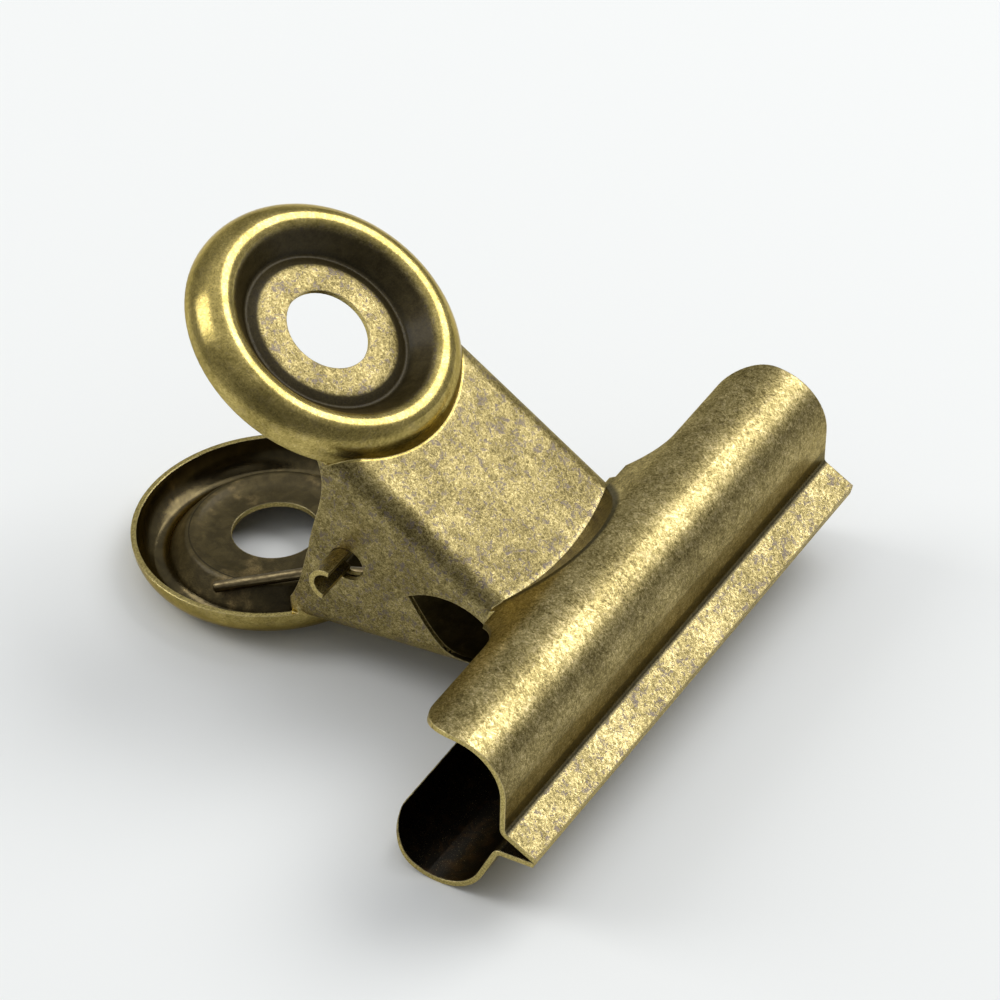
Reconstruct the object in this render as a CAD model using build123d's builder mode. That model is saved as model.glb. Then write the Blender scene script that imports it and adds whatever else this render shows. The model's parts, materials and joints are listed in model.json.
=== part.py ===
from build123d import *
import os
from math import acos, asin, atan2, cos, degrees, hypot, pi, radians, sin, sqrt, tan

os.makedirs("parts", exist_ok=True)

# A sprung bulldog clip: two stamped plates that face each other, hinged on two tongues curled out of the
# lower plate's ears, and pushed together at the lips by a torsion spring.
#
# Each plate is described in its own frame.  The origin is the middle of the hinge axis, X lies along that
# axis, Y points to the handles, and Z points away from the plane in which the two lips meet.
# Lengths are millimetres and angles are degrees.

# Sheet and overall size
jaw_width = 51.0
sheet = 0.45
lip_gap = 0.05              # each lip's edge stands this far from the meeting plane

# Section of the domed bar, as (y, z) on its outer surface
lip_edge_y = -27.4
groove_y = -24.75
lip_slope = 17.0
wall_slope = 78.0
crest_y = -19.35
crest_z = 8.07
dome_front_radius = 4.5
dome_back_radius = 6.3
bar_back_y = -14.85
flare_end_y = -13.0         # where the flared edge meets the ear
heel_clearance = 0.01
groove_radius = 0.45

# Plan of the bar
bar_corner_radius = 3.3
flare_start_x = 14.9
flare_radius = 5.0

# Neck, with its two ears folded down
neck_height = 8.88          # above the hinge axis
neck_slope = 19.5
upper_half_width = 9.4
ear_gap = 0.15
lower_half_width = upper_half_width - sheet - ear_gap
fold_radius = 2.1
neck_start = -19.0
neck_end = 3.3
crease_radius = 25.0
crease_y = -14.03
crease_slope = 60.0

# Dished handle disc
disc_y = 10.25
disc_z = 12.24
disc_tilt = 16.4
hanging_hole_radius = 3.59
flat_radius = 5.2           # the flat ring round the hole; its shoulder falls away beyond it
shoulder_radius = 3.5
shoulder_slope = 26.0
trough_radius = 7.0         # from the disc's axis to the bottom of the trough
trough_round = 0.35
rim_wall_slope = 48.0
rim_radius = 9.55           # to the rim's crest
rim_height = 1.8            # of the crest, over the flat of the disc
rim_round = 1.4             # radius of the crest's section
disc_outer_radius = 11.8
rim_skirt = 1.15            # the rim's free edge lies this far under the flat of the disc

# Hinge
tongue_radius = 1.5
hinge_clearance = 0.05
tongue_reach = 3.1          # beyond the upper ear
window_front = 2.3          # forward end of the opening that each tongue was cut from

# Torsion spring
wire_radius = 0.475
coil_radius = 4.4           # to the middle of the wire
coil_half_length = 4.6
coil_full_turns = 7
arm_end_across = 0.45       # the arm's end, from the disc's centre towards the handle's tip
arm_end_depth = 0.5         # under the flat of the disc
arm_end_x = 8.5
arm_bend_share = 0.45       # place of the bend along the arm
arm_bend_radius = 4.0

# Sizes that follow
rim_across = disc_outer_radius - rim_radius
rim_drop = rim_height + rim_skirt
flank_radius = (rim_across**2 + rim_drop**2 - 2 * rim_drop * rim_round) / (2 * (rim_across - rim_round))
crest_centre = (rim_radius, rim_height - rim_round)
flank_centre = (disc_outer_radius - flank_radius, -rim_skirt)
far = 30.0                  # beyond every outline
deep = 9.0                  # below every cut edge
top = 22.0                  # above every surface


def disc_point(across, up):
    """(y, z) of a point of the disc's middle section, from the disc's own flat and axis."""
    tilt = radians(disc_tilt)
    return disc_y + across * cos(tilt) - up * sin(tilt), disc_z + across * sin(tilt) + up * cos(tilt)


# The clip lies on its lower dome and the far side of its lower rim.  Both are round in section, so the lean
# is that of the line which touches the two circles.
dome_centre = (crest_y, crest_z - dome_front_radius)
rim_centre = disc_point(*crest_centre)
reach_y = rim_centre[0] - dome_centre[0]
reach_z = rim_centre[1] - dome_centre[1]
lean = degrees(atan2(reach_z, reach_y) - asin((dome_front_radius - rim_round) / hypot(reach_y, reach_z)))
lean_sin = sin(radians(lean))
lean_cos = cos(radians(lean))
hinge_z = dome_front_radius - dome_centre[0] * lean_sin + dome_centre[1] * lean_cos

# The origin is in the middle of the clip's length: its ends are the upper lip and the lower rim's free edge.
lip_top_z = lip_gap + sheet / cos(radians(lip_slope))
front_reach = lip_edge_y * lean_cos - lip_top_z * lean_sin
skirt_edge = disc_point(disc_outer_radius, -rim_skirt)
back_reach = skirt_edge[0] * lean_cos + skirt_edge[1] * lean_sin
hinge_y = -(front_reach + back_reach) / 2

upper_frame = Plane((0, hinge_y, hinge_z), x_dir=(1, 0, 0), z_dir=(0, -lean_sin, lean_cos))
lower_frame = Plane((0, hinge_y, hinge_z), x_dir=(-1, 0, 0), z_dir=(0, lean_sin, -lean_cos))


def at(frame, x, y, z):
    """A point given in a plate's frame."""
    return frame.origin + frame.x_dir * x + frame.y_dir * y + frame.z_dir * z


def side_plane(frame):
    """Sketch plane across the hinge axis, with the plate's Y and Z as its two directions."""
    return Plane(frame.origin, x_dir=frame.y_dir, z_dir=frame.x_dir)


def disc_plane(frame):
    """Plane of the disc's flat outer face, with its normal along the disc's axis."""
    centre = at(frame, 0, disc_y, disc_z)
    tilt = radians(disc_tilt)
    return Plane(centre, x_dir=frame.x_dir, z_dir=frame.z_dir * cos(tilt) - frame.y_dir * sin(tilt))


# ---------------------------------------------------------------- the two stamped plates

def bar_body(frame, depth):
    """The domed bar's solid, whose surface lies `depth` under the plate's outer surface."""
    rise = tan(radians(lip_slope))
    wall = radians(wall_slope)
    lip_far = (-far, lip_top_z + (-far - lip_edge_y) * rise)
    groove_z = lip_top_z + (groove_y - lip_edge_y) * rise
    front_z = crest_z - dome_front_radius
    back_z = crest_z - dome_back_radius
    wall_top = (crest_y - dome_front_radius * sin(wall), front_z + dome_front_radius * cos(wall))
    wall_foot = (wall_top[0] - (wall_top[1] - groove_z) / tan(wall), groove_z)
    front_mid = (crest_y - dome_front_radius * sin(wall / 2), front_z + dome_front_radius * cos(wall / 2))
    edge_angle = asin((bar_back_y - crest_y) / dome_back_radius)
    half_angle = edge_angle / 2
    back_mid = (crest_y + dome_back_radius * sin(half_angle), back_z + dome_back_radius * cos(half_angle))
    back_edge = (bar_back_y, back_z + dome_back_radius * cos(edge_angle))
    # behind the free edge the surface runs straight on, down to a heel that the blank's outline cuts away
    heel_y = flare_end_y + sheet + heel_clearance
    heel = (heel_y, back_edge[1] - (heel_y - bar_back_y) * tan(edge_angle))
    with BuildPart() as body:
        with BuildSketch(side_plane(frame)):
            with BuildLine():
                Line((-far, -deep), lip_far)
                FilletPolyline(lip_far, wall_foot, wall_top, radius=groove_radius)
                ThreePointArc(wall_top, front_mid, (crest_y, crest_z))
                ThreePointArc((crest_y, crest_z), back_mid, back_edge)
                Polyline(back_edge, heel, (heel_y, -deep), (-far, -deep))
            make_face()
            if depth:
                offset(amount=-depth, kind=Kind.INTERSECTION, mode=Mode.REPLACE)
        extrude(amount=jaw_width / 2 + depth, both=True)
    return body.part


def press_body(frame, depth):
    """The cone-faced tool that presses the curved crease where the dome meets the flat neck."""
    slope = radians(crease_slope)
    crease_z = neck_height + crease_y * tan(radians(neck_slope))
    axis_origin = at(frame, 0, crease_y + crease_radius, 0)
    base = crease_radius + depth / sin(slope)
    with BuildPart() as tool:
        with BuildSketch(Plane(axis_origin, x_dir=frame.x_dir, z_dir=-frame.y_dir)):
            Polygon(
                (0, -deep),
                (base - (deep + crease_z) / tan(slope), -deep),
                (base + (top - crease_z) / tan(slope), top),
                (0, top),
                align=None,
            )
        revolve(axis=Axis(axis_origin, frame.z_dir))
    return tool.part


def neck_body(frame, half_width, depth):
    """The neck's solid: flat top, rounded folds, and sides that become the ears."""
    slope = radians(neck_slope)
    along = frame.y_dir * cos(slope) + frame.z_dir * sin(slope)
    start = at(frame, 0, neck_start, neck_height + neck_start * tan(slope))
    length = (neck_end - neck_start) / cos(slope)
    with BuildPart() as body:
        with BuildSketch(Plane(start, x_dir=frame.x_dir, z_dir=along)) as section:
            with Locations((0, (top + depth) / 2)):
                Rectangle(2 * (half_width - depth), top - depth)
            fillet(section.vertices().group_by(Axis(start, along.cross(frame.x_dir)))[0], fold_radius - depth)
        extrude(amount=length)
    return body.part


def disc_body(frame, depth):
    """The disc's solid: a low flat ring, a trough round it, and a rim with a round crest."""
    plane = disc_plane(frame)
    slope = radians(shoulder_slope)
    wall = radians(rim_wall_slope)
    shoulder = (flat_radius + shoulder_radius * sin(slope), -shoulder_radius * (1 - cos(slope)))
    trough = (trough_radius, shoulder[1] - (trough_radius - shoulder[0]) * tan(slope))
    wall_top = (rim_radius - rim_round * sin(wall), crest_centre[1] + rim_round * cos(wall))
    lean_out = atan2(crest_centre[0] - flank_centre[0], crest_centre[1] - flank_centre[1])
    flank_top = (rim_radius + rim_round * sin(lean_out), crest_centre[1] + rim_round * cos(lean_out))
    edge = (disc_outer_radius, -rim_skirt)
    with BuildPart() as body:
        with BuildSketch(Plane(plane.origin, x_dir=plane.x_dir, z_dir=plane.x_dir.cross(plane.z_dir))):
            with BuildLine():
                Polyline((flat_radius, 0), (-1, 0), (-1, -deep), (disc_outer_radius, -deep), edge)
                RadiusArc(edge, flank_top, -flank_radius)
                RadiusArc(flank_top, wall_top, -rim_round)
                FilletPolyline(wall_top, trough, shoulder, radius=trough_round)
                RadiusArc(shoulder, (flat_radius, 0), -shoulder_radius)
            make_face()
            if depth:
                offset(amount=-depth, kind=Kind.INTERSECTION, mode=Mode.REPLACE)
            with Locations((far / 2, 0)):
                Rectangle(far, 2 * far, mode=Mode.INTERSECT)
        revolve(axis=Axis(plane.origin, plane.z_dir))
    return body.part


def plate_body(frame, half_width, depth):
    """Everything on the inner side of the surface that lies `depth` under the plate's outer surface."""
    with BuildPart() as body:
        add(bar_body(frame, depth))
        add(press_body(frame, depth), mode=Mode.SUBTRACT)
        add(neck_body(frame, half_width, depth))
        add(disc_body(frame, depth))
    return body.part


def upper_ear_outline():
    """Cut edge of an upper ear, from the bar to the disc."""
    Polyline((-16, top), (-16, 1.8), (-13.2, 1.8))
    Spline((-13.2, 1.8), (-10.2, 2.65), (-7.4, 1.85), (-5.1, -0.2), (-3.1, -2.6))
    ThreePointArc((-3.1, -2.6), (-0.1, -4.0), (3.2, -1.9))
    Spline((3.2, -1.9), (3.55, 1.5), (3.6, 6.0), (4.9, 9.2))
    Polyline((4.9, 9.2), (4.9, top), (-16, top))


def lower_ear_outline():
    """Cut edge of a lower ear: shorter in front than an upper ear."""
    Polyline((-16, top), (-16, 3.3), (-13.2, 3.3))
    Spline((-13.2, 3.3), (-10.2, 3.7), (-8.0, 2.5), (-5.4, 0.1), (-3.0, -1.9))
    ThreePointArc((-3.0, -1.9), (-0.1, -3.5), (3.0, -1.9))
    Spline((3.0, -1.9), (3.7, 1.5), (3.8, 6.0), (4.9, 9.2))
    Polyline((4.9, 9.2), (4.9, top), (-16, top))


def blank_body(frame, half_width, ear_outline):
    """The space inside the plate's cut edges."""
    neck_side = flare_start_x - sqrt(flare_radius**2 - (flare_radius - (flare_end_y - bar_back_y)) ** 2)
    bar_plane = Plane(at(frame, 0, 0, 0), x_dir=frame.x_dir, z_dir=frame.z_dir)
    plane = disc_plane(frame)
    with BuildPart() as body:
        # plan of the bar: square at the lip, rounded at the back, flared into the neck
        with BuildSketch(bar_plane):
            with BuildLine():
                half = jaw_width / 2
                corner_start = (half, bar_back_y - bar_corner_radius)
                corner_end = (half - bar_corner_radius, bar_back_y)
                Polyline((0, lip_edge_y), (half, lip_edge_y), corner_start)
                RadiusArc(corner_start, corner_end, -bar_corner_radius)
                Line(corner_end, (flare_start_x, bar_back_y))
                RadiusArc((flare_start_x, bar_back_y), (neck_side, flare_end_y), flare_radius)
                Polyline((neck_side, flare_end_y), (0, flare_end_y), (0, lip_edge_y))
            make_face()
            mirror(about=Plane.YZ)
        extrude(amount=top)
        # side view of the neck and its ears
        with BuildSketch(side_plane(frame)):
            with BuildLine():
                ear_outline()
            make_face()
        extrude(amount=half_width, both=True)
        # the disc, down to its rim's free edge
        with BuildSketch(plane.offset(-rim_skirt)):
            Circle(disc_outer_radius + sheet)
        extrude(amount=deep)
    return body.part


def stamped_plate(frame, half_width, ear_outline):
    """One plate: the skin between its outer and inner surfaces, inside its cut edges."""
    outer = plate_body(frame, half_width, 0)
    inner = plate_body(frame, half_width, sheet)
    blank = blank_body(frame, half_width, ear_outline)
    plane = disc_plane(frame)
    with BuildPart() as plate:
        add(outer)
        add(inner, mode=Mode.SUBTRACT)
        add(blank, mode=Mode.INTERSECT)
        with BuildSketch(plane.offset(-deep)):
            Circle(hanging_hole_radius)
        extrude(amount=2 * deep, mode=Mode.SUBTRACT)
    return plate.part


upper_stamping = stamped_plate(upper_frame, upper_half_width, upper_ear_outline)
lower_stamping = stamped_plate(lower_frame, lower_half_width, lower_ear_outline)

with BuildPart() as upper_jaw:
    add(upper_stamping)
    with BuildSketch(side_plane(upper_frame)):
        Circle(tongue_radius + hinge_clearance)
    extrude(amount=far, both=True, mode=Mode.SUBTRACT)

tongue_start = lower_half_width - sheet
tongue_length = upper_half_width + tongue_reach - tongue_start
bore_radius = tongue_radius - sheet

with BuildPart() as lower_jaw:
    add(lower_stamping)
    # the opening that each tongue was cut from
    with BuildSketch(side_plane(lower_frame)):
        Circle(tongue_radius)
        with Locations((-window_front / 2, 0)):
            Rectangle(window_front, 2 * bore_radius)
    extrude(amount=far, both=True, mode=Mode.SUBTRACT)
    # the tongues: half rounds about the hinge axis, open towards the jaws
    for side in (-1, 1):
        with BuildSketch(side_plane(lower_frame).offset(side * tongue_start)):
            Circle(tongue_radius)
            Circle(bore_radius, mode=Mode.SUBTRACT)
            with Locations((-tongue_radius, 0)):
                Rectangle(2 * tongue_radius, 4 * tongue_radius, mode=Mode.SUBTRACT)
        extrude(amount=side * tongue_length)

# ---------------------------------------------------------------- the torsion spring

# Each arm leaves the coil along its tangent, bends outwards, and ends inside the rim of one disc.
# The two arms are the same, each in its own plate's frame.
arm_end_y, arm_end_z = disc_point(arm_end_across, -arm_end_depth)
leave_angle = atan2(arm_end_z, arm_end_y) + acos(coil_radius / hypot(arm_end_y, arm_end_z))
leave_y = coil_radius * cos(leave_angle)
leave_z = coil_radius * sin(leave_angle)
coil_turn = 2 * pi - 2 * leave_angle + 2 * pi * coil_full_turns
coil_pitch = 2 * coil_half_length * 2 * pi / coil_turn
bend_y = leave_y + arm_bend_share * (arm_end_y - leave_y)
bend_z = leave_z + arm_bend_share * (arm_end_z - leave_z)
bend_x = coil_half_length + hypot(bend_y - leave_y, bend_z - leave_z) * coil_pitch / (2 * pi * coil_radius)


def arm_points(frame):
    """An arm's corners, from the coil outwards."""
    return [
        at(frame, coil_half_length, leave_y, leave_z),
        at(frame, bend_x, bend_y, bend_z),
        at(frame, arm_end_x, arm_end_y, arm_end_z),
    ]


coil_start = at(upper_frame, coil_half_length, 0, 0)
coil_plane = Plane(
    coil_start,
    x_dir=upper_frame.y_dir * cos(leave_angle) + upper_frame.z_dir * sin(leave_angle),
    z_dir=-upper_frame.x_dir,
)
coil_helix = Helix(coil_pitch, 2 * coil_half_length, coil_radius, lefthand=True, mode=Mode.PRIVATE)
coil_line = coil_plane * coil_helix

with BuildPart() as torsion_spring:
    with BuildLine() as wire:
        FilletPolyline(*reversed(arm_points(upper_frame)), radius=arm_bend_radius)
        add(coil_line)
        FilletPolyline(*arm_points(lower_frame), radius=arm_bend_radius)
    with BuildSketch(Plane(wire.line @ 0, z_dir=wire.line % 0)):
        Circle(wire_radius)
    sweep(path=wire.line)

for piece, label in ((upper_jaw, "upper_jaw"), (lower_jaw, "lower_jaw"), (torsion_spring, "torsion_spring")):
    piece.part.label = label
    export_step(piece.part, "parts/" + label + ".step")
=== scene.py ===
import json
from math import acos, atan2, cos, hypot, pi, radians, sin, tan
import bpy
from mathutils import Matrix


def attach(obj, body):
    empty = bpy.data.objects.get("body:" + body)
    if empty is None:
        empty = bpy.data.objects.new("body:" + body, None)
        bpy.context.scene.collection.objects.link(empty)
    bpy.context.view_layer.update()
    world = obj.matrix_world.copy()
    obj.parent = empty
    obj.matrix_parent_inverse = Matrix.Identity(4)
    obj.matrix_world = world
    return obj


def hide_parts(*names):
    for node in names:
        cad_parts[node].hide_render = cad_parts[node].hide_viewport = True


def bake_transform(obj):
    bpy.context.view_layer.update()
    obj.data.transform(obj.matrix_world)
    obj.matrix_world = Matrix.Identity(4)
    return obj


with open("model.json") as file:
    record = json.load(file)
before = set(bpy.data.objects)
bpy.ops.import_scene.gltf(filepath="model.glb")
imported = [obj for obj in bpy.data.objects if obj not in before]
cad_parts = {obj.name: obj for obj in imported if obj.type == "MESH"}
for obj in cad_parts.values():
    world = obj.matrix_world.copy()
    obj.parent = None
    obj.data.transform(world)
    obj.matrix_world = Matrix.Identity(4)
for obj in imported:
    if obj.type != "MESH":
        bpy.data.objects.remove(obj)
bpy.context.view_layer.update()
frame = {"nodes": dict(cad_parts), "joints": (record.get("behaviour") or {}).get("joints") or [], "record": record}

from types import SimpleNamespace

import bpy
import numpy as np
from mathutils import Matrix, Vector
from mathutils.bvhtree import BVHTree

MM = 0.001

# The two plate frames, as in the CAD: origin on the hinge axis, X along it, Y to the handles, Z outwards.
# The clip lies leaning; the lips' mount looks straight out along -Y of both frames, so it gives the lean.
HINGE = Vector(frame["joints"][0]["pos_m"])
GRIP = next(m["axis"] for m in frame["record"]["mounts"] if m["name"] == "lip_grip")
ALONG = -Vector(GRIP).normalized()
OUT = Vector((0, -ALONG.z, ALONG.y))
PLATE_AXES = {
    "upper": (Vector((1, 0, 0)), ALONG, OUT),
    "lower": (Vector((-1, 0, 0)), ALONG, -OUT),
}

# Sizes of a plate, in millimetres in its own frame
SHEET = 0.45
BAR_CENTRE = (-19.35, 0.0)
BAR_BACK = -12.6
EAR_CENTRE_Z = 2.0
DISC_Y, DISC_Z, DISC_TILT = 10.25, 12.24, radians(16.4)
DISC_EDGE, DISC_SKIRT = 11.8, 1.15
TROUGH = 7.0
RIM_CENTRE = (9.7, -0.2)
CREASE_Y, CREASE_RADIUS, CREASE_SLOPE = -14.03, 25.0, radians(60)
CREASE_CENTRE_Y = CREASE_Y + CREASE_RADIUS
NECK_HEIGHT, NECK_SLOPE = 8.88, radians(19.5)
CREASE_Z = NECK_HEIGHT + CREASE_Y * tan(NECK_SLOPE)


def to_plate(points, body):
    """Points in the row frame, in metres, as plate-frame millimetres."""
    axes = np.array([list(a) for a in PLATE_AXES[body]])
    return (points - np.array(HINGE)) @ axes.T / MM


def from_plate(body, x, y, z):
    """A plate-frame point in millimetres, as a point in the row frame in metres."""
    ax, ay, az = PLATE_AXES[body]
    return HINGE + (ax * x + ay * y + az * z) * MM


# ---------------------------------------------------------------- nodes helper

class Nodes:
    """A few short ways to add and link shader nodes of a material or a world."""

    def __init__(self, owner):
        self.owner = owner
        owner.use_nodes = True
        self.tree = owner.node_tree
        self.tree.nodes.clear()

    def add(self, kind, **values):
        node = self.tree.nodes.new(kind)
        for key, value in values.items():
            setattr(node, key, value)
        return node

    def put(self, socket, value):
        """Link a node's output to the socket, or set the socket to a constant."""
        if isinstance(value, bpy.types.NodeSocket):
            self.tree.links.new(value, socket)
        else:
            socket.default_value = value

    def fill(self, node, values):
        for name, value in values.items():
            self.put(node.inputs[name], value)

    def math(self, operation, a, b=0.0, clamp=False):
        node = self.add("ShaderNodeMath", operation=operation, use_clamp=clamp)
        self.put(node.inputs[0], a)
        self.put(node.inputs[1], b)
        return node.outputs[0]

    def plus(self, a, b):
        return self.math("ADD", a, b)

    def minus(self, a, b, clamp=False):
        return self.math("SUBTRACT", a, b, clamp)

    def times(self, first, *others):
        for other in others:
            first = self.math("MULTIPLY", first, other)
        return first

    def larger(self, a, b):
        return self.math("MAXIMUM", a, b)

    def size_of(self, a):
        return self.math("ABSOLUTE", a)

    def length(self, a, b):
        return self.math("SQRT", self.plus(self.times(a, a), self.times(b, b)))

    def dot(self, a, b):
        node = self.add("ShaderNodeVectorMath", operation="DOT_PRODUCT")
        self.put(node.inputs[0], a)
        self.put(node.inputs[1], b)
        return node.outputs["Value"]

    def ramp(self, value, low, high, to_low=0.0, to_high=1.0):
        """A soft step: to_low where value is low, to_high where it is high."""
        node = self.add("ShaderNodeMapRange", interpolation_type="SMOOTHSTEP")
        for socket, given in zip(node.inputs, (value, low, high, to_low, to_high)):
            self.put(socket, given)
        return node.outputs[0]

    def mix(self, share, a, b, blend="MIX"):
        node = self.add("ShaderNodeMix", data_type="RGBA", blend_type=blend, clamp_factor=True)
        self.put(node.inputs[0], share)
        self.put(node.inputs[6], a)
        self.put(node.inputs[7], b)
        return node.outputs[2]

    def noise(self, vector, scale, rough, detail=3.0, distortion=0.0):
        node = self.add("ShaderNodeTexNoise")
        self.fill(node, {"Vector": vector, "Scale": scale, "Detail": detail, "Roughness": rough,
                         "Distortion": distortion})
        return node.outputs[0]

    def stored(self, name, output):
        """A value stored on the mesh."""
        return self.add("ShaderNodeAttribute", attribute_name=name).outputs[output]

    def bump(self, height, strength, depth):
        node = self.add("ShaderNodeBump")
        self.fill(node, {"Height": height, "Strength": strength, "Distance": depth})
        return node

    def surface(self, values):
        """Finish the material with a principled surface that has these values."""
        out = self.add("ShaderNodeOutputMaterial")
        bsdf = self.add("ShaderNodeBsdfPrincipled")
        self.put(out.inputs[0], bsdf.outputs[0])
        self.fill(bsdf, values)
        return self.owner


# ---------------------------------------------------------------- the plates' brass

# Soft steps of the paint, in millimetres: where each starts and where it is complete
DISC_OUTSIDE, DISC_UNDERSIDE = (11.95, 11.8), (-1.6, -1.3)
WALL_START, WALL_END = (5.85, 6.2), (9.0, 8.3)
TROUGH_END = (7.5, 7.2)
RIM_START, CREST_END = (8.5, 8.9), (10.5, 9.8)
BAR_AT_CREASE, BAR_AT_EARS = (-0.05, 0.0), (-12.3, -12.6)
LIP_START = (-24.6, -24.8)
SHADE_OVER_NECK = (0.75, 0.05)
PRESSED_WIDTH, PRESSED_OVER_NECK, PRESSED_START = (0.3, 0.12), (0.0, 0.06), (-11.0, -11.6)
GLINT_START, GLINT_END, GLINT_ON_NECK = (-0.6, -0.2), (0.0, -0.06), (0.06, 0.02)
GROOVE_FRONT, GROOVE_BACK, GROOVE_TOP = (-24.78, -24.5), (-23.0, -23.4), (3.0, 1.9)
FRONT_WALL_START, FRONT_WALL_END = (-21.6, -22.6), (-24.9, -24.7)
FOOT_TOP, FOOT_FRONT = (2.75, 2.45), (-24.85, -24.7)
BAR_INSIDE_START = (-11.0, -12.4)

# Brass from dark olive patina, at 0, to bright rubbed metal, at 1
TONES = (
    (0.0, (0.06, 0.047, 0.013, 1)),
    (0.3, (0.17, 0.132, 0.045, 1)),
    (0.55, (0.31, 0.25, 0.095, 1)),
    (0.8, (0.50, 0.405, 0.18, 1)),
    (1.0, (0.80, 0.66, 0.33, 1)),
)
RIM_WARMTH = (1.0, 0.97, 0.7, 1)
SPOT_PURPLE = (0.125, 0.10, 0.09, 1)
# Painted shade: colours that stand in for shade along the pressed crease, in the disc's recess and trough, and low
# on the bar's front; on the front wall it is partly patina
PRESSED_SHADE = (0.032, 0.028, 0.014, 1)
RECESS_SHADE_DARK, RECESS_SHADE_PALE = (0.035, 0.026, 0.011, 1), (0.062, 0.048, 0.02, 1)
TROUGH_SHADE = (0.022, 0.017, 0.008, 1)
FRONT_WALL_PATINA_AND_SHADE = (0.10, 0.075, 0.04, 1)
FOOT_SHADE = (0.045, 0.038, 0.022, 1)
# The inner skin and the inside of the bar are dark partly from their patina and partly as painted shade
DULL_DARK, DULL_LIGHT = (0.06, 0.046, 0.02, 1), (0.095, 0.073, 0.031, 1)
DULL_RUBBED = (0.24, 0.175, 0.075, 1)
CAVE_DARK, CAVE_BROWN = (0.022, 0.018, 0.013, 1), (0.06, 0.035, 0.016, 1)
CAVE_SPECK = (0.3, 0.25, 0.12, 1)
EDGE_DARK, EDGE_LIGHT = (0.32, 0.25, 0.08, 1), (0.60, 0.49, 0.18, 1)
WORN_BRIGHT = (0.66, 0.55, 0.27, 1)
SHEEN_TINT = (0.85, 0.74, 0.46, 1)

# How much lighter each region is than the plain patina. The rim and its crest are lighter partly from rubbing and
# partly as a painted highlight; the glint is a painted highlight and shade is painted shade
LIGHTER = {
    "rim": 0.1, "crest": 0.1, "speckled": -0.09, "lip": 0.14,
    "glint": 0.3, "shade": -0.3, "groove": -0.22,
}

# The lowest and highest values that a noise often has, narrower spans of it, and its middle
NOISE_SPAN, PATCH_SPAN, BROWN_SPAN, EDGE_SPAN = (0.3, 0.7), (0.35, 0.7), (0.45, 0.7), (0.35, 0.65)
NOISE_MIDDLE = 0.5

# What each pattern adds to the tone, where it is lowest and highest
CLOUD_TONES, MOTTLE_TONES, GRAIN_TONES = (0.28, 0.52), (-0.16, 0.16), (-0.11, 0.14)
SPECKLE_TONES, SPECKLE_SPAN = (-0.12, 0.14), (0.32, 0.68)

# What scratches add to or take from the tone; the pairs are off the bar and on it
SCRATCH_TONE, LONG_SCRATCH_TONES, DARK_SCRATCH_TONES = 0.2, (0.12, 0.34), (0.06, 0.2)

# Purple spots: shares of the mottle and the patches, where they start, and where they are thinned out
SPOT_MOTTLE, SPOT_PATCH, SPOT_SPAN = 0.6, 0.4, (0.53, 0.58)
SPOT_GRAIN_SPAN, SPOT_GRAIN_SHARES, SPOT_REGION_SHARES = (0.38, 0.55), (0.35, 1.0), (0.2, 0.9)

# How much each painted shade covers the brass; on the front wall it also stands for patina
SHADE_COVER = {"pressed": 0.9, "trough": 0.8, "wall": 0.95, "front_wall": 0.25, "foot": 0.75}

# Rubbing: the patina's strength off the rim and on it, and the wear of edges.
# WORN_LIMITS is the most wear, in the open and where hidden.
RIM_EVENNESS = (1.0, 0.45)
EDGE_TURN, WORN_SPAN, WORN_SHARES, WORN_LIMITS = (0.985, 0.86), (0.35, 0.55), (0.35, 1.0), (0.85, 0.0)

# Handled patches inside the handles, and specks inside the bar
HANDLED_SPAN, HANDLED_GRAIN_SPAN, HANDLED_SHARES = (0.55, 0.7), (0.35, 0.6), (0.4, 1.0)
CAVE_SPECK_SPAN = (0.68, 0.74)

# Roughness in the mottle, and what each region adds
ROUGHNESS = (0.36, 0.28)
SPOT_ROUGHER, SPECKLED_ROUGHER, HIDDEN_ROUGHER, RIM_ROUGHER = 0.12, 0.05, 0.16, -0.13

# Relief of the patina: shares of the grain, the fine grain, the spots and the scratches
GRAIN_RELIEF, FINE_RELIEF, SPOT_RELIEF, SCRATCH_RELIEF, SPECKLED_RELIEF = 0.6, 0.35, 0.35, 0.12, (0.5, 0.8)

# Scratches: (turn, tilt) of each set of short ones, in radians
SCRATCH_SETS = ((0.5, 0.3), (1.5, -0.5), (2.2, 0.5), (2.9, 0.9))
SIDE_TILT = 0.6
EDGE_ROUNDING = 0.16 * MM
PATINA_DEPTH = 0.03 * MM


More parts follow.
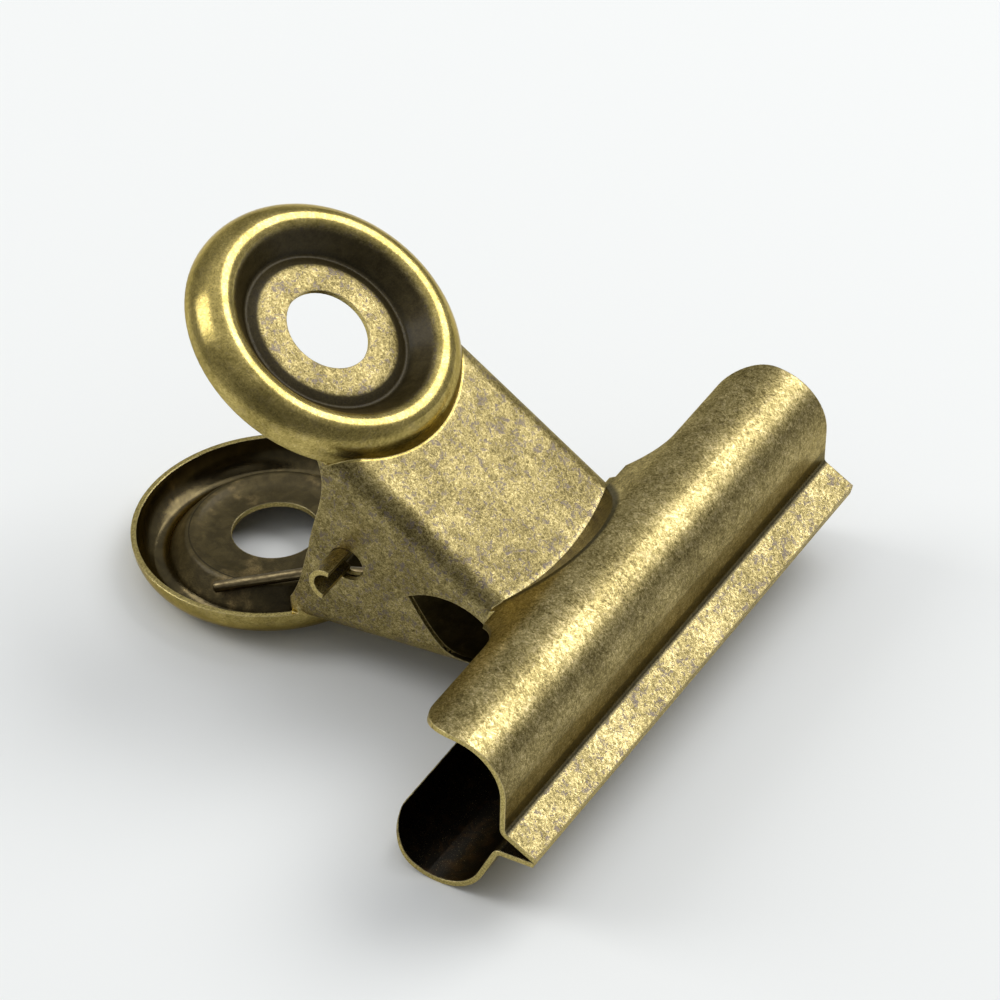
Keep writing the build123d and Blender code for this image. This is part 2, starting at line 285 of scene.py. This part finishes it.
def plate_regions(n, place):
    """Masks of a plate's regions, each 1 inside and 0 outside."""
    split = n.add("ShaderNodeSeparateXYZ")
    n.put(split.inputs[0], place)
    x, y, z = split.outputs
    at = SimpleNamespace()

    # the disc: distance from its axis, and height over its flat
    rel_y, rel_z = n.minus(y, DISC_Y), n.minus(z, DISC_Z)
    across = n.plus(n.times(rel_y, cos(DISC_TILT)), n.times(rel_z, sin(DISC_TILT)))
    rise = n.minus(n.times(rel_z, cos(DISC_TILT)), n.times(rel_y, sin(DISC_TILT)))
    radius = n.length(x, across)
    on_disc = n.times(n.ramp(radius, *DISC_OUTSIDE), n.ramp(rise, *DISC_UNDERSIDE))
    # the wall and the trough are the disc's recess, where painted shade goes
    at.wall = n.times(on_disc, n.times(n.ramp(radius, *WALL_START), n.ramp(radius, *WALL_END)))
    at.trough = n.ramp(radius, *TROUGH_END)
    at.rim = n.times(on_disc, n.ramp(radius, *RIM_START))
    at.crest = n.times(at.rim, n.ramp(radius, *CREST_END))

    # the crease, pressed along a wide arc, and the bar beyond it
    reach = n.length(x, n.minus(y, CREASE_CENTRE_Y))
    lean = n.times(n.minus(z, CREASE_Z), 1 / tan(CREASE_SLOPE))
    past_crease = n.minus(n.minus(reach, CREASE_RADIUS), lean)
    over_neck = n.minus(z, n.plus(n.times(y, tan(NECK_SLOPE)), NECK_HEIGHT))
    from_neck = n.size_of(over_neck)
    at.bar = n.times(n.ramp(past_crease, *BAR_AT_CREASE), n.ramp(y, *BAR_AT_EARS))
    at.shade = n.times(at.bar, n.ramp(from_neck, *SHADE_OVER_NECK))
    # the pressed strip along the crease gets painted shade
    at.pressed = n.times(
        n.ramp(n.size_of(past_crease), *PRESSED_WIDTH),
        n.ramp(over_neck, *PRESSED_OVER_NECK),
        n.ramp(y, *PRESSED_START),
    )
    at.glint = n.times(
        n.ramp(past_crease, *GLINT_START),
        n.ramp(from_neck, *GLINT_ON_NECK),
        n.ramp(past_crease, *GLINT_END),
    )

    # the lip, the groove behind it, and the low front of the bar, which gets painted shade
    at.lip = n.ramp(y, *LIP_START)
    at.groove = n.times(n.ramp(y, *GROOVE_FRONT), n.ramp(z, *GROOVE_TOP), n.ramp(y, *GROOVE_BACK))
    at.front_wall = n.times(at.bar, n.times(n.ramp(y, *FRONT_WALL_START), n.ramp(y, *FRONT_WALL_END)))
    at.foot = n.times(at.bar, n.ramp(z, *FOOT_TOP), n.ramp(y, *FOOT_FRONT))

    # what was never rubbed smooth keeps its speckles
    smooth_bar = n.times(at.bar, n.minus(1.0, at.lip))
    at.speckled = n.minus(1.0, n.larger(smooth_bar, at.rim), clamp=True)
    at.inner = n.stored("inner_skin", "Fac")
    at.inside_bar = n.times(at.inner, n.ramp(y, *BAR_INSIDE_START))
    at.cut = n.stored("cut_edge", "Fac")
    return at


def scratches(n, place, turn, tilt, across, along, width):
    """Fine lines all in about one direction: 1 on a line, 0 between."""
    grain_frame = n.add("ShaderNodeMapping", vector_type="TEXTURE")
    n.fill(grain_frame, {"Vector": place, "Rotation": (tilt, tilt * SIDE_TILT, turn),
                         "Scale": (along, 1 / across, 1 / across)})
    value = n.noise(grain_frame.outputs[0], scale=1.0, detail=2.0, rough=0.6, distortion=0.4)
    return n.ramp(n.size_of(n.minus(value, NOISE_MIDDLE)), width, 0.0)


def patina_pattern(n, place):
    """The patina's noises, from clouds to fine grain, and its scratches; scales are per millimetre."""
    lines = None
    for turn, tilt in SCRATCH_SETS:
        one = scratches(n, place, turn, tilt, across=3.2, along=2.6, width=0.045)
        lines = one if lines is None else n.larger(lines, one)
    return SimpleNamespace(
        cloud=n.noise(place, scale=0.28, rough=0.6),
        patch=n.noise(place, scale=0.9, rough=0.6, distortion=0.6),
        mottle=n.noise(place, scale=2.6, rough=0.6, distortion=0.5),
        grain=n.noise(place, scale=6.0, detail=2.0, rough=0.6),
        fine=n.noise(place, scale=13.0, detail=1.0, rough=0.5),
        lines=lines,
        long_lines=n.larger(scratches(n, place, 1.05, 0.1, across=2.2, along=5.0, width=0.02),
                            scratches(n, place, 2.0, -0.2, across=2.4, along=4.0, width=0.018)),
        dark_lines=n.larger(scratches(n, place, 1.3, 0.2, across=1.8, along=4.5, width=0.03),
                            scratches(n, place, 0.8, -0.3, across=2.0, along=4.0, width=0.03)),
    )


def brass_colour(n, at, seen, rubbed, spots):
    """Colour of the outer skin: patina by tone, a warm rim, and purple-grey spots, with painted highlights and
    painted shade added to the tone.
    """
    tone = n.ramp(seen.cloud, *NOISE_SPAN, *CLOUD_TONES)
    mottled = n.ramp(seen.mottle, *NOISE_SPAN, *MOTTLE_TONES)
    uneven = n.plus(mottled, n.ramp(seen.grain, *NOISE_SPAN, *GRAIN_TONES))
    tone = n.plus(tone, n.times(uneven, rubbed))
    tone = n.plus(tone, n.times(at.speckled, n.ramp(seen.fine, *SPECKLE_SPAN, *SPECKLE_TONES)))
    tone = n.plus(tone, n.times(seen.lines, SCRATCH_TONE))
    tone = n.plus(tone, n.times(seen.long_lines, n.ramp(at.bar, 0.0, 1.0, *LONG_SCRATCH_TONES)))
    tone = n.minus(tone, n.times(seen.dark_lines, n.ramp(at.bar, 0.0, 1.0, *DARK_SCRATCH_TONES)))
    for region, lighter in LIGHTER.items():
        tone = n.plus(tone, n.times(getattr(at, region), lighter))

    scale = n.add("ShaderNodeValToRGB")
    n.put(scale.inputs[0], tone)
    elements = scale.color_ramp.elements
    elements[0].position, elements[0].color = TONES[0]
    elements[1].position, elements[1].color = TONES[-1]
    for position, colour in TONES[1:-1]:
        elements.new(position).color = colour
    colour = n.mix(at.rim, scale.outputs[0], RIM_WARMTH, blend="MULTIPLY")
    return n.mix(spots, colour, SPOT_PURPLE)


def with_painted_shade(n, at, seen, colour):
    """The colour with painted shade: the pressed crease, the disc's recess and the low front of the bar left dark,
    the front wall partly for its patina.
    """
    cover = {region: n.times(getattr(at, region), share) for region, share in SHADE_COVER.items()}
    colour = n.mix(cover["pressed"], colour, PRESSED_SHADE)
    recess = n.mix(n.ramp(seen.patch, *PATCH_SPAN), RECESS_SHADE_DARK, RECESS_SHADE_PALE)
    recess = n.mix(cover["trough"], recess, TROUGH_SHADE)
    colour = n.mix(cover["wall"], colour, recess)
    colour = n.mix(cover["front_wall"], colour, FRONT_WALL_PATINA_AND_SHADE)
    return n.mix(cover["foot"], colour, FOOT_SHADE)


def with_inside(n, at, seen, colour):
    """The colour with the dull inner skin, the nearly black inside of the bar, and the bright cut edges. The inner
    skin and the inside of the bar are dark partly from patina and partly as painted shade.
    """
    dull = n.mix(n.ramp(seen.patch, *PATCH_SPAN), DULL_DARK, DULL_LIGHT)
    broken_up = n.ramp(seen.grain, *HANDLED_GRAIN_SPAN, *HANDLED_SHARES)
    handled = n.times(n.ramp(seen.cloud, *HANDLED_SPAN), broken_up)
    dull = n.mix(handled, dull, DULL_RUBBED)
    cave = n.mix(n.ramp(seen.patch, *BROWN_SPAN), CAVE_DARK, CAVE_BROWN)
    cave = n.mix(n.ramp(seen.fine, *CAVE_SPECK_SPAN), cave, CAVE_SPECK)
    edge = n.mix(n.ramp(seen.grain, *EDGE_SPAN), EDGE_DARK, EDGE_LIGHT)
    colour = n.mix(at.inner, colour, dull)
    colour = n.mix(at.inside_bar, colour, cave)
    return n.mix(at.cut, colour, edge)


def brass_material():
    """Antiqued brass plate: dark patina with speckles, rubbed bright on raised parts and cut edges, with painted
    highlights on the rim and painted shade in creases and hollows.
    """
    n = Nodes(bpy.data.materials.new("antique_brass"))
    place = n.stored("plate_mm", "Vector")
    at = plate_regions(n, place)
    seen = patina_pattern(n, place)
    hidden = n.larger(at.wall, at.pressed)
    rubbed = n.ramp(at.rim, 0.0, 1.0, *RIM_EVENNESS)
    spots = n.plus(n.times(seen.mottle, SPOT_MOTTLE), n.times(seen.patch, SPOT_PATCH))
    spots = n.ramp(spots, *SPOT_SPAN)
    spots = n.times(spots, n.ramp(seen.grain, *SPOT_GRAIN_SPAN, *SPOT_GRAIN_SHARES))
    spots = n.times(spots, n.ramp(at.speckled, 0.0, 1.0, *SPOT_REGION_SHARES))

    colour = brass_colour(n, at, seen, rubbed, spots)
    colour = with_painted_shade(n, at, seen, colour)
    colour = with_inside(n, at, seen, colour)

    # convex edges are worn bright: there the rounded normal turns away from the true one
    round_edge = n.add("ShaderNodeBevel", samples=4)
    n.put(round_edge.inputs["Radius"], EDGE_ROUNDING)
    agree = n.dot(round_edge.outputs[0], n.add("ShaderNodeNewGeometry").outputs["Normal"])
    worn = n.times(n.ramp(agree, *EDGE_TURN), n.ramp(seen.mottle, *WORN_SPAN, *WORN_SHARES))
    worn = n.times(worn, n.ramp(hidden, 0.0, 1.0, *WORN_LIMITS))
    colour = n.mix(worn, colour, WORN_BRIGHT)

    rough = n.ramp(seen.mottle, *NOISE_SPAN, *ROUGHNESS)
    for mask, rougher in ((spots, SPOT_ROUGHER), (at.speckled, SPECKLED_ROUGHER),
                          (hidden, HIDDEN_ROUGHER), (at.rim, RIM_ROUGHER)):
        rough = n.plus(rough, n.times(mask, rougher))

    height = n.plus(n.times(seen.grain, GRAIN_RELIEF), n.times(seen.fine, FINE_RELIEF))
    height = n.minus(height, n.times(spots, SPOT_RELIEF))
    height = n.minus(height, n.times(seen.lines, SCRATCH_RELIEF))
    height = n.times(height, rubbed, n.ramp(at.speckled, 0.0, 1.0, *SPECKLED_RELIEF))
    bump = n.bump(height, 1.0, PATINA_DEPTH)
    n.put(bump.inputs["Normal"], round_edge.outputs[0])
    return n.surface({
        "Base Color": colour, "Roughness": rough, "Metallic": 1.0, "Specular Tint": SHEEN_TINT,
        "Coat Weight": 0.2, "Coat Roughness": 0.25, "Normal": bump.outputs[0],
    })


# ---------------------------------------------------------------- the two stamped plates

# A face is on a cut edge if the sheet behind it is thicker than this many sheets
CUT_THICKNESS = 1.6
RAY_START, RAY_REACH = 0.01 * MM, 4 * MM
DISC_CLEARANCE, SKIRT_CLEARANCE = 0.1, 0.4


def outward(points):
    """For each plate-frame point, a direction from the inside of the plate's hollow to the outside."""
    x, y, z = points.T
    zero = np.zeros(len(points))
    away = np.stack([x, zero, z - EAR_CENTRE_Z], 1)
    bar = y < BAR_BACK
    away[bar] = np.stack([zero, y - BAR_CENTRE[0], z - BAR_CENTRE[1]], 1)[bar]

    disc_up = np.array([0.0, -sin(DISC_TILT), cos(DISC_TILT)])
    disc_along = np.array([0.0, cos(DISC_TILT), sin(DISC_TILT)])
    from_disc = points - np.array([0.0, DISC_Y, DISC_Z])
    up = from_disc @ disc_up
    flat = np.stack([from_disc[:, 0], from_disc @ disc_along], 1)
    radius = np.hypot(flat[:, 0], flat[:, 1])
    on_disc = (radius < DISC_EDGE + DISC_CLEARANCE) & (up > -DISC_SKIRT - SKIRT_CLEARANCE)
    ring = on_disc & (radius > TROUGH)
    unit = flat / np.maximum(radius, 1e-6)[:, None]
    radial = np.stack([unit[:, 0], unit[:, 1] * disc_along[1], unit[:, 1] * disc_along[2]], 1)
    from_roll = (radius - RIM_CENTRE[0])[:, None] * radial + (up - RIM_CENTRE[1])[:, None] * disc_up
    away[on_disc] = disc_up
    away[ring] = from_roll[ring]
    return away


def face_kinds(mesh, body):
    """1 for each face of a cut edge, and 1 for each face of the inner skin."""
    count = len(mesh.polygons)
    centre, normal = np.empty(count * 3), np.empty(count * 3)
    mesh.polygons.foreach_get("center", centre)
    mesh.polygons.foreach_get("normal", normal)
    centre, normal = centre.reshape(-1, 3), normal.reshape(-1, 3)
    corners = [v.co for v in mesh.vertices]
    tree = BVHTree.FromPolygons(corners, [tuple(p.vertices) for p in mesh.polygons])
    cut = np.zeros(count)
    for i in range(count):
        inward = -Vector(normal[i])
        place, _, _, thickness = tree.ray_cast(Vector(centre[i]) + inward * RAY_START, inward, RAY_REACH)
        cut[i] = 1.0 if place is None or thickness > CUT_THICKNESS * SHEET * MM else 0.0
    axes = np.array([list(a) for a in PLATE_AXES[body]])
    inner = ((normal @ axes.T * outward(to_plate(centre, body))).sum(1) < 0).astype(float)
    inner[cut > 0.5] = 0.0
    return cut, inner


def plate_piece(node_name, body, name, material):
    """A visible copy of a plate, with its plate-frame coordinates and kinds of face stored on the mesh."""
    mesh = frame["nodes"][node_name].data.copy()
    mesh.name = name
    points = np.array([v.co for v in mesh.vertices], float).reshape(-1, 3)
    place = mesh.attributes.new("plate_mm", "FLOAT_VECTOR", "POINT")
    place.data.foreach_set("vector", to_plate(points, body).astype(np.float32).ravel())
    for label, values in zip(("cut_edge", "inner_skin"), face_kinds(mesh, body)):
        layer = mesh.attributes.new(label, "FLOAT", "FACE")
        layer.data.foreach_set("value", values.astype(np.float32))
    mesh.materials.clear()
    mesh.materials.append(material)
    piece = bpy.data.objects.new(name, mesh)
    bpy.context.scene.collection.objects.link(piece)
    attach(piece, body)
    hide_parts(node_name)


brass = brass_material()
plate_piece("upper_jaw", "upper", "upper_plate", brass)
plate_piece("lower_jaw", "lower", "lower_plate", brass)

# ---------------------------------------------------------------- the torsion spring

WIRE_RADIUS, COIL_RADIUS, COIL_HALF, COIL_TURNS = 0.475, 4.4, 4.6, 7
ARM_ACROSS, ARM_DEPTH, ARM_X, BEND_SHARE, BEND_RADIUS = 0.45, 0.5, 8.5, 0.45, 4.0
STEPS_A_TURN, STRAIGHT_STEPS, BEND_STEPS, WIRE_SIDES = 44, 12, 10, 20
END_ROUNDING = 0.22
WIRE_DARK, WIRE_LIGHT = (0.10, 0.075, 0.04, 1), (0.34, 0.27, 0.14, 1)
WIRE_STRETCH = (0.5, 6.0, 6.0)
WIRE_PATCH_TONES, DRAWN_TONES, WIRE_ROUGHNESS = (0.15, 0.65), (-0.12, 0.2), (0.42, 0.28)
DRAWN_DEPTH = 0.01 * MM


def wire_material():
    """Antiqued spring wire: drawn lines along it, patina in patches."""
    n = Nodes(bpy.data.materials.new("spring_wire"))
    place = n.stored("wire_mm", "Vector")
    stretch = n.add("ShaderNodeMapping")
    n.fill(stretch, {"Vector": place, "Scale": WIRE_STRETCH})
    drawn = n.noise(stretch.outputs[0], scale=1.0, detail=2.0, rough=0.6)
    patch = n.noise(place, scale=1.4, rough=0.6)
    patches, lines = n.ramp(patch, *NOISE_SPAN, *WIRE_PATCH_TONES), n.ramp(drawn, *NOISE_SPAN, *DRAWN_TONES)
    tone = n.math("ADD", patches, lines, clamp=True)
    return n.surface({
        "Base Color": n.mix(tone, WIRE_DARK, WIRE_LIGHT),
        "Roughness": n.ramp(tone, 0.0, 1.0, *WIRE_ROUGHNESS),
        "Metallic": 1.0, "Normal": n.bump(drawn, 0.6, DRAWN_DEPTH).outputs[0],
    })


def rounded(points, radius):
    """A three-point path with its middle corner rounded."""
    a, b, c = (Vector(p) for p in points)
    before, after = (a - b).normalized(), (c - b).normalized()
    half = before.angle(after) / 2
    centre = b + (before + after).normalized() * radius / sin(half)
    first = b + before * radius / tan(half)
    last = b + after * radius / tan(half)
    arc = []
    for i in range(BEND_STEPS + 1):
        spoke = (first - centre).lerp(last - centre, i / BEND_STEPS).normalized()
        arc.append(centre + spoke * radius)
    straight = [a.lerp(first, i / STRAIGHT_STEPS) for i in range(STRAIGHT_STEPS)]
    return straight + arc + [last.lerp(c, (i + 1) / STRAIGHT_STEPS) for i in range(STRAIGHT_STEPS)]


def spring_path():
    """The wire's centre line in the row frame: upper arm, coil, lower arm."""
    end_y = DISC_Y + ARM_ACROSS * cos(DISC_TILT) + ARM_DEPTH * sin(DISC_TILT)
    end_z = DISC_Z + ARM_ACROSS * sin(DISC_TILT) - ARM_DEPTH * cos(DISC_TILT)
    leave = atan2(end_z, end_y) + acos(COIL_RADIUS / hypot(end_y, end_z))
    leave_y, leave_z = COIL_RADIUS * cos(leave), COIL_RADIUS * sin(leave)
    turn = 2 * pi - 2 * leave + 2 * pi * COIL_TURNS
    pitch = 2 * COIL_HALF * 2 * pi / turn
    bend_y = leave_y + BEND_SHARE * (end_y - leave_y)
    bend_z = leave_z + BEND_SHARE * (end_z - leave_z)
    bend_x = COIL_HALF + hypot(bend_y - leave_y, bend_z - leave_z) * pitch / (2 * pi * COIL_RADIUS)
    corners = [(COIL_HALF, leave_y, leave_z), (bend_x, bend_y, bend_z), (ARM_X, end_y, end_z)]
    arm = rounded(corners, BEND_RADIUS)
    steps = STEPS_A_TURN * (COIL_TURNS + 1)
    coil = []
    for i in range(1, steps):
        angle = leave + turn * i / steps
        x = COIL_HALF - 2 * COIL_HALF * i / steps
        coil.append((x, COIL_RADIUS * cos(angle), COIL_RADIUS * sin(angle)))
    path = [from_plate("upper", *p) for p in reversed(arm)]
    path += [from_plate("upper", *p) for p in coil]
    path += [from_plate("lower", *p) for p in arm]
    return path


def tube(name, path, radius, material):
    """A round wire along a path, with chamfered ends, and its length and girth stored for the material."""
    final = len(path) - 1
    tangents = [(path[min(i + 1, final)] - path[max(i - 1, 0)]).normalized() for i in range(final + 1)]
    chamfer = END_ROUNDING * radius
    centres = [path[0] + tangents[0] * chamfer] + path[1:-1] + [path[-1] - tangents[-1] * chamfer]
    travelled = 0.0
    rings = [(path[0], tangents[0], radius - chamfer, travelled)]
    for i, (centre, tangent) in enumerate(zip(centres, tangents)):
        if i:
            travelled += (path[i] - path[i - 1]).length
        rings.append((centre, tangent, radius, travelled))
    rings.append((path[-1], tangents[-1], radius - chamfer, travelled))

    verts, girth, faces = [], [], []
    side = tangents[0].orthogonal().normalized()
    for centre, tangent, size, distance in rings:
        side = (side - tangent * side.dot(tangent)).normalized()
        other = tangent.cross(side)
        for k in range(WIRE_SIDES):
            angle = 2 * pi * k / WIRE_SIDES
            verts.append(centre + (side * cos(angle) + other * sin(angle)) * size)
            girth.append((distance / MM, cos(angle), sin(angle)))
    last = (len(rings) - 1) * WIRE_SIDES
    for i in range(0, last, WIRE_SIDES):
        for k in range(WIRE_SIDES):
            m = (k + 1) % WIRE_SIDES
            faces.append((i + k, i + m, i + WIRE_SIDES + m, i + WIRE_SIDES + k))
    faces.append(tuple(reversed(range(WIRE_SIDES))))
    faces.append(tuple(last + k for k in range(WIRE_SIDES)))

    mesh = bpy.data.meshes.new(name)
    mesh.from_pydata(verts, [], faces)
    layer = mesh.attributes.new("wire_mm", "FLOAT_VECTOR", "POINT")
    layer.data.foreach_set("vector", np.array(girth, np.float32).ravel())
    for polygon in mesh.polygons:
        polygon.use_smooth = len(polygon.vertices) == 4
    mesh.materials.append(material)
    mesh.update()
    piece = bpy.data.objects.new(name, mesh)
    bpy.context.scene.collection.objects.link(piece)
    return piece


spring = tube("coil_spring", spring_path(), WIRE_RADIUS * MM, wire_material())
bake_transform(spring)
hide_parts("torsion_spring")

# ---------------------------------------------------------------- camera

# The camera's place, in millimetres, and its angles, in the upper plate's frame
CAMERA_PLACE = (-308.955, -116.288, 347.068)
AZIMUTH, ELEVATION, ROLL = radians(-70.6022), radians(46.2195), radians(16.4477)
LENS, SENSOR = 216.19, 36


def turned(direction):
    """A direction in the upper plate's frame, in the row frame."""
    return sum((axis * part for axis, part in zip(PLATE_AXES["upper"], direction)), Vector((0, 0, 0)))


level = Vector((cos(AZIMUTH), sin(AZIMUTH), 0))
towards_camera = Vector((sin(AZIMUTH) * cos(ELEVATION), -cos(AZIMUTH) * cos(ELEVATION), sin(ELEVATION)))
upright = towards_camera.cross(level)
right = turned(level * cos(ROLL) + upright * sin(ROLL))
above = turned(upright * cos(ROLL) - level * sin(ROLL))
back = turned(towards_camera)
lens = bpy.data.cameras.new("camera")
lens.lens = LENS
lens.sensor_width = SENSOR
lens.clip_start = 0.01
lens.clip_end = 10
camera = bpy.data.objects.new("camera", lens)
facing = Matrix((right, above, back)).transposed().to_4x4()
camera.matrix_world = Matrix.Translation(from_plate("upper", *CAMERA_PLACE)) @ facing
bpy.context.scene.collection.objects.link(camera)
bpy.context.scene.camera = camera

# ---------------------------------------------------------------- floor and light

FLOOR_HALF = 2
PAPER = {"Base Color": (0.86, 0.87, 0.86, 1), "Roughness": 0.8, "Specular IOR Level": 0.2}
LIT_POINT = Vector((0, 0, 0.015))

# The surround: its colour, the side where it is dimmest, and its strength there and overhead.
# Each ramp is (from, to, strength from, strength to): along that side's direction, and with height.
SURROUND_COLOUR = (0.97, 0.985, 1.0, 1)
DIM_SIDE = (-0.65, -0.40, 0.64)
SIDE_RAMP = (0.4, 0.95, 0.92, 0.46)
HEIGHT_RAMP = (0.5, 0.95, 0.46, 1.15)


def paper_floor():
    """A plain pale floor."""
    corners = [(-FLOOR_HALF, -FLOOR_HALF, 0), (FLOOR_HALF, -FLOOR_HALF, 0),
               (FLOOR_HALF, FLOOR_HALF, 0), (-FLOOR_HALF, FLOOR_HALF, 0)]
    mesh = bpy.data.meshes.new("floor")
    mesh.from_pydata(corners, [], [(0, 1, 2, 3)])
    floor = bpy.data.objects.new("floor", mesh)
    bpy.context.scene.collection.objects.link(floor)
    mesh.materials.append(Nodes(bpy.data.materials.new("paper")).surface(PAPER))


def softbox(name, direction, distance, width, height, power):
    """A rectangular lamp that faces the clip, in a direction from it; metres and watts."""
    light = bpy.data.lights.new(name, "AREA")
    light.shape = "RECTANGLE"
    light.size = width
    light.size_y = height
    light.energy = power
    lamp = bpy.data.objects.new(name, light)
    towards = Vector(direction).normalized()
    lamp.location = LIT_POINT + towards * distance
    lamp.rotation_euler = towards.to_track_quat("Z", "Y").to_euler()
    bpy.context.scene.collection.objects.link(lamp)


def studio_world():
    """A soft surround, brightest overhead and dimmest on one side."""
    n = Nodes(bpy.data.worlds.new("studio"))
    direction = n.add("ShaderNodeTexCoord").outputs["Generated"]
    height = n.add("ShaderNodeSeparateXYZ")
    n.put(height.inputs[0], direction)
    sideways = n.ramp(n.dot(direction, DIM_SIDE), *SIDE_RAMP)
    strength = n.times(sideways, n.ramp(height.outputs["Z"], *HEIGHT_RAMP))
    surround = n.add("ShaderNodeBackground")
    n.fill(surround, {"Color": SURROUND_COLOUR, "Strength": strength})
    out = n.add("ShaderNodeOutputWorld")
    n.put(out.inputs[0], surround.outputs[0])
    bpy.context.scene.world = n.owner


paper_floor()
softbox("key", (0.57, -0.277, 0.77), distance=0.6, width=0.42, height=0.36, power=1.72)
softbox("back", (-0.28, 0.75, 0.60), distance=0.6, width=0.26, height=0.34, power=1.0)
studio_world()
bpy.context.scene.view_settings.view_transform = "Standard"
